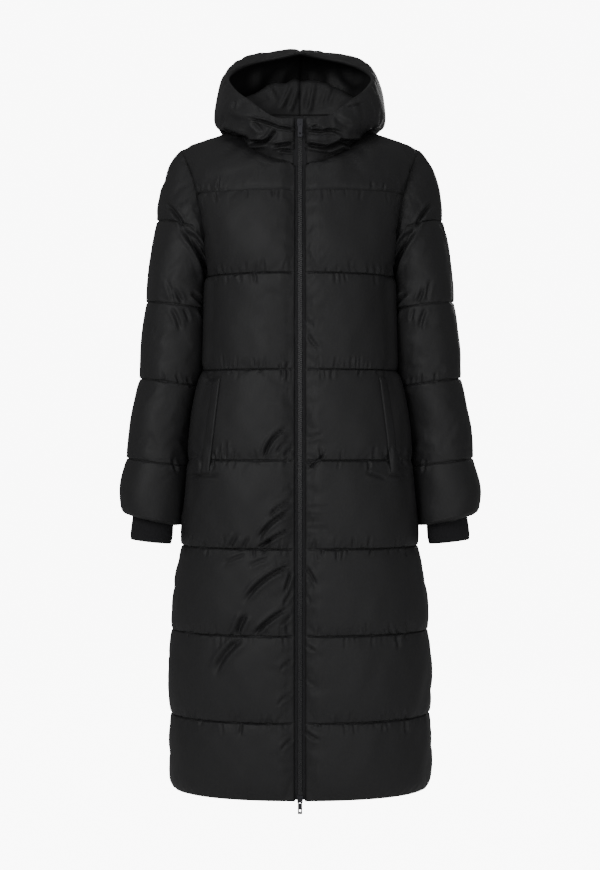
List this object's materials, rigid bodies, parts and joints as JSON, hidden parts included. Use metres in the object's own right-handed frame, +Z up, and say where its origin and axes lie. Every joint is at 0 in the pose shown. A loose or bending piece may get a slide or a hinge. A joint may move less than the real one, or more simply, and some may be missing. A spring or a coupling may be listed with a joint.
{
  "type": "long hooded puffer coat",
  "caption": "Long quilted puffer coat with hood, two-way front zip, slanted welt pockets and ribbed cuffs, hollow as worn and hanging from the shoulders.",
  "frame": {"origin": "centre between the wearer's shoulders at the neck, where the wearer holds the coat up", "axes": "+Z up along the coat, +Y to its back, +X to the wearer's left"},
  "size_m": [0.6206, 0.3603, 1.3278],
  "materials": {
    "puffer_shell": "black calendered polyester with a soft satin sheen, quilted over filling",
    "rib_knit": "matte black rib knit",
    "zip_tape": "matte black woven tape",
    "zip_teeth": "black moulded teeth, slightly glossy",
    "zip_metal": "dark gunmetal, semi-gloss"
  },
  "bodies": {
    "root": {"front_left": "puffer_shell", "front_right": "puffer_shell", "back": "puffer_shell", "sleeve_left": "puffer_shell", "sleeve_right": "puffer_shell", "hood_left": "puffer_shell", "hood_right": "puffer_shell", "pocket_welt_left": "puffer_shell", "pocket_welt_right": "puffer_shell", "cuff_left": "rib_knit", "cuff_right": "rib_knit", "zip_tape_left": "zip_tape", "zip_tape_right": "zip_tape", "zip_chain": "zip_teeth", "slider_top": "zip_metal", "slider_bottom": "zip_metal"},
    "puller_top": {"pull_top": "zip_metal"},
    "puller_bottom": {"pull_bottom": "zip_metal"}
  },
  "joints": [
    {"name": "pull_top_swing", "type": "hinge", "parent": "root", "child": "puller_top", "pos_m": [0, -0.11994, -0.028], "axis": [-1, 0, 0], "range_deg": [0, 165]},
    {"name": "pull_bottom_swing", "type": "hinge", "parent": "root", "child": "puller_bottom", "pos_m": [0, -0.15704, -1.1615], "axis": [-1, 0, 0], "range_deg": [0, 165]}
  ]
}
